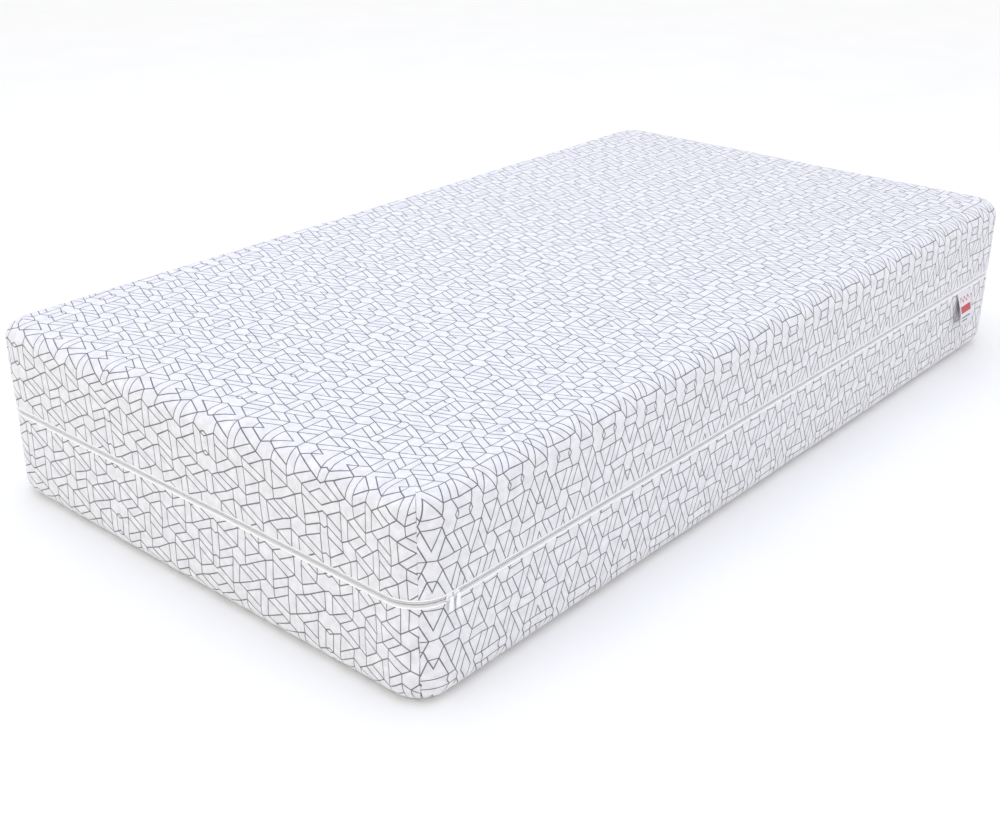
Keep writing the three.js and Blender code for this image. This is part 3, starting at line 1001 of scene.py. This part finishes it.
def side_label():
    """The label, sewn under the zip along its top, with folded side hems and a curl at its free end."""
    low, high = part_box("side_label")
    length = high.z - low.z - END_GAP
    rows, columns = 40, 24
    rings, uvs = [], []
    for i in range(rows + 1):
        share = i / rows
        slope = LABEL_CURL * math.pi / 2 * math.cos(share * math.pi / 2) / length
        stretch = math.hypot(1, slope)
        ring = []
        for layer, order in ((-1, range(columns + 1)), (1, range(columns, -1, -1))):
            for across in (k / columns for k in order):
                half = LABEL_HALF + LABEL_HEM * (min(across, 1 - across) < 0.06 or share > 0.95)
                wave = 0.0013 * share ** 2 * math.sin(across * 4.2 + 0.6)
                curl = LABEL_CURL * math.sin(share * math.pi / 2) * (1 - 0.16 * across)
                ring.append((
                    low.x + (high.x - low.x) * across,
                    -WIDTH / 2 - LABEL_DEPTH - curl + wave + layer * half / stretch,
                    high.z - END_GAP / 2 - length * share - layer * half * slope / stretch,
                ))
                uvs.append((across, share))
        rings.append(ring)
    verts, tris = solid(rings)
    piece = mesh_object("label_cloth", verts, [t[::-1] for t in tris], [label_material()])
    layer = piece.data.uv_layers.new(name="print")
    for loop in piece.data.loops:
        layer.data[loop.index].uv = uvs[loop.vertex_index]
    return piece, (high.x - low.x, length)


def label_stitches():
    """The row of machine stitches that holds the label's top edge."""
    low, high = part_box("side_label")
    count = 22
    verts, tris = join([
        stitch(low.x + (high.x - low.x) * (k + 0.5) / count, -WIDTH / 2 - LABEL_DEPTH - 0.00035,
               high.z - 0.0022, 0.0010, 0.00035, 0.0002)
        for k in range(count)
    ])
    return mesh_object("label_stitches", verts, tris, [THREAD])


# ---- what lies inside the cover
def outline(inset, z):
    """The mattress's outline from above, that far inside the cover."""
    radius = CORNER_RADIUS - inset
    steps = 12
    points = []
    for quarter, (sx, sy) in enumerate(((1, 1), (-1, 1), (-1, -1), (1, -1))):
        for step in range(steps + 1):
            angle = (quarter + step / steps) * math.pi / 2
            points.append((sx * CORNER_X + radius * math.cos(angle),
                           sy * CORNER_Y + radius * math.sin(angle), z))
    return points


def loft(name, rows, materials, ripple=0.0):
    """A closed body through rows of [inset, z], from a flat face below to a flat face above."""
    rings = [outline(inset, z) for inset, z in rows]
    size = len(rings[0])
    verts = [p for points in rings for p in points]
    if ripple:
        verts = [
            tuple(np.array(p) + ripple * np.array(noise.noise_vector(Vector(p) * 14))) for p in verts
        ]
    tris = skin(len(rings), size)
    for row, turned in ((0, True), (len(rings) - 1, False)):
        centre = len(verts)
        verts.append((0, 0, rows[row][1]))
        for k in range(size):
            a, b = row * size + k, row * size + (k + 1) % size
            tris.append((centre, b, a) if turned else (centre, a, b))
    return mesh_object(name, verts, tris, materials)


def wall_rows(inset, z_from):
    """Rows up a wall, over the rolled edge and onto the top."""
    reach = EDGE_RADIUS - inset
    steps = 8
    rows = [(inset, z_from)]
    for step in range(steps + 1):
        angle = step / steps * math.pi / 2
        z = HEIGHT - EDGE_RADIUS + reach * math.sin(angle)
        rows.append((EDGE_RADIUS - reach * math.cos(angle), z))
    return rows


def upside_down(rows):
    return [(inset, HEIGHT - z) for inset, z in reversed(rows)]


CORE_INSET = 0.0076       # from the cover's outside to the foam
CUT_EDGE = 0.002          # how far a cut foam edge is eased
SOCK_OUTER = 0.0065       # from the cover's outside to the sock's outside
SOCK_INNER = 0.0071
SOCK_RIPPLE = 0.0002


def cut_edge(inset, z, inward):
    """Two rows that ease a cut foam edge. inward is 1 where the wall goes on above it, and -1 below."""
    rows = [(inset + CUT_EDGE, z), (inset + 0.3 * CUT_EDGE, z + 0.3 * inward * CUT_EDGE),
            (inset, z + inward * CUT_EDGE)]
    return rows[::inward]


def foam_core():
    """The three foam layers: support foam, comfort foam and memory foam."""
    base_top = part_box("base_foam")[1].z
    low, high = (corner.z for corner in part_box("transition_foam"))
    memory_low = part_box("memory_foam")[0].z
    base_rows = upside_down(wall_rows(CORE_INSET, HEIGHT - base_top + CUT_EDGE))
    base = loft("support_foam_block", base_rows + cut_edge(CORE_INSET, base_top, -1), [BASE_FOAM])
    comfort_rows = cut_edge(CORE_INSET, low, 1) + cut_edge(CORE_INSET, high, -1)
    comfort = loft("comfort_foam_sheet", comfort_rows, [TRANSITION_FOAM])
    memory_rows = cut_edge(CORE_INSET, memory_low, 1) + wall_rows(CORE_INSET, memory_low + CUT_EDGE)[1:]
    memory = loft("memory_foam_sheet", memory_rows, [MEMORY_FOAM])
    return base, comfort, memory


def sock_half(name, node, upper):
    """Half of the thin inner sock, slightly rippled, with its flat size and area: a rectangle with a
    square notch at each corner."""
    low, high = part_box(node)
    seam = low.z if upper else high.z
    start = seam if upper else HEIGHT - seam
    rows = wall_rows(SOCK_INNER, start)[::-1] + wall_rows(SOCK_OUTER, start)
    piece = loft(name, rows if upper else upside_down(rows), [SOCK_KNIT], SOCK_RIPPLE)
    drop = HEIGHT - EDGE_RADIUS - start + ROLL
    flat = (LENGTH - 2 * EDGE_RADIUS + 2 * drop, WIDTH - 2 * EDGE_RADIUS + 2 * drop)
    return piece, flat, flat[0] * flat[1] - 4 * drop ** 2


SEAM_PLIES = ((0.0039, 0.0046, 0.125), (0.0048, 0.0055, 0.115))   # depths, and reach in radians
SEAM_BEFORE = 0.03        # how far they reach past the seam on its other side, in radians


def corner_seam(name, node):
    """A corner seam's allowance: two plies folded to one side, with slightly wavy cut edges."""
    low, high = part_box(node)
    centre = (low + high) / 2
    sign_x, sign_y = math.copysign(1, centre.x), math.copysign(1, centre.y)
    middle = math.atan2(sign_y, sign_x)
    stops = 26
    parts = []
    for ply, (front, back, reach) in enumerate(SEAM_PLIES):
        rings = []
        for i in range(stops + 1):
            z = low.z + (high.z - low.z) * i / stops
            edge = reach * (1 + 0.05 * math.sin(i * 1.7 + 2 * ply))
            section = [(front, -SEAM_BEFORE), (front, edge), (back, edge), (back, -SEAM_BEFORE)]
            rings.append([
                (sign_x * CORNER_X + (CORNER_RADIUS - depth) * math.cos(middle + angle),
                 sign_y * CORNER_Y + (CORNER_RADIUS - depth) * math.sin(middle + angle), z)
                for depth, angle in section
            ])
        parts.append(solid(rings))
    verts, tris = join(parts)
    return mesh_object(name, verts, tris, [WHITE_KNIT], smooth=False)


# ---- stage, light and camera
FLOOR_REACH = 14.0
FLOOR_Z = -0.0004
LENS = 50.26              # focal length in mm, on a sensor of the usual width
SENSOR = 36.0
SHIFT = (0.0104, 0.0012)  # how far the picture's middle lies off the lens's axis
CAMERA_PLACE = (-2.2015, -1.7422, 1.3016)
CAMERA_TURN = 41.333      # degrees from +X towards +Y
CAMERA_DIP = 25.365       # degrees below the horizon


def make_stage():
    paper = Shader("floor_paper", 0.9)
    paper.colour(paper.ramp(paper.noise(3.0), 0.3, (0.94, 0.94, 0.94), 0.7, (0.96, 0.96, 0.96)))
    corners = [(x * FLOOR_REACH, y * FLOOR_REACH, 0) for x, y in ((-1, -1), (1, -1), (1, 1), (-1, 1))]
    floor = mesh_object("floor", corners, [(0, 1, 2, 3)], [paper.material], smooth=False)
    floor.location.z = FLOOR_Z


def area_light(name, place, target, size, power, colour):
    light = bpy.data.lights.new(name, "AREA")
    light.shape = "RECTANGLE"
    light.size, light.size_y = size
    light.energy = power
    light.color = colour
    lamp = new_object(name, light)
    lamp.location = place
    lamp.rotation_euler = (Vector(target) - Vector(place)).to_track_quat("-Z", "Y").to_euler()


def make_lights():
    world = bpy.data.worlds.new("studio")
    bpy.context.scene.world = world
    world.use_nodes = True
    sky = world.node_tree.nodes["Background"]
    sky.inputs["Color"].default_value = (1, 1, 1, 1)
    sky.inputs["Strength"].default_value = 1.0
    area_light("overhead", (-0.4, 0.2, 3.4), (-0.2, 0, 0.2), (3.0, 2.4), 38, (0.53, 0.62, 1.0))
    area_light("right_side", (-0.6, -4.0, 1.5), (-0.5, 0, 0.2), (2.4, 2.0), 4, (0.93, 0.93, 1.0))
    area_light("left_side", (-4.6, 0.4, 1.7), (0, 0, 0.2), (2.4, 2.0), 14, (1.0, 0.89, 0.5))


def make_camera():
    camera = new_object("camera", bpy.data.cameras.new("camera"))
    camera.data.lens = LENS
    camera.data.sensor_width = SENSOR
    camera.data.shift_x, camera.data.shift_y = SHIFT
    camera.location = CAMERA_PLACE
    camera.rotation_euler = (math.radians(90 - CAMERA_DIP), 0, math.radians(CAMERA_TURN - 90))
    bpy.context.scene.camera = camera
    bpy.context.scene.view_settings.view_transform = "Standard"


# ---- putting it together
def settle(piece, body, slot, *nodes):
    """Makes a finished piece ride on its body and stand for its CAD nodes."""
    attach(piece, body)
    if nodes:
        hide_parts(*nodes)


def add_covers():
    upper_wall = HEIGHT - EDGE_RADIUS - UPPER_HEM
    lower_wall = LOWER_HEM - EDGE_RADIUS
    top, top_flat, top_area = cover_half("cover_upper_half", upper_wall, UPPER_PATTERN_Y, False)
    bottom, bottom_flat, bottom_area = cover_half("cover_lower_half", lower_wall, LOWER_PATTERN_Y, True)
    settle(top, "mattress", "knit_cover", "cover_top")
    settle(bottom, "mattress", "knit_cover", "cover_bottom")


def add_zip():
    for side, word in ((1, "upper"), (-1, "lower")):
        settle(zip_tape(f"zip_tape_cloth_{word}", side), "mattress", "zip_tape", f"zip_tape_{word}")
        settle(zip_coil(f"zip_teeth_{word}", side), "mattress", "zip_coil", f"zip_coil_{word}")
    for word, nose in (("left", 1), ("right", -1)):
        slider = zip_slider(f"zip_slider_{word}", f"slider_{word}", nose)
        settle(slider, f"slider_{word}", "slider", f"slider_{word}")
        pull, flat = zip_pull(f"zip_ribbon_{word}", f"pull_{word}", 1.0 + nose)
        settle(pull, f"pull_{word}", "pull_ribbon", f"pull_{word}")


def add_label():
    cloth, flat = side_label()
    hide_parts("side_label")
    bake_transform(cloth)
    settle(label_stitches(), "mattress", "label")


def add_inside():
    base, comfort, memory = foam_core()
    settle(base, "mattress", "base_foam", "base_foam")
    settle(comfort, "mattress", "transition_foam", "transition_foam")
    settle(memory, "mattress", "memory_foam", "memory_foam")
    for word in ("upper", "lower"):
        sock, flat, area = sock_half(f"inner_sock_{word}", f"sock_{word}", word == "upper")
        settle(sock, "mattress", "sock", f"sock_{word}")
    for half in ("top", "bottom"):
        for corner in ("back_right", "back_left", "front_left", "front_right"):
            node = f"seam_{half}_{corner}"
            settle(corner_seam(f"allowance_{half}_{corner}", node), "mattress", "knit_cover", node)


make_camera()
make_lights()
make_stage()
add_covers()
add_zip()
add_label()
add_inside()
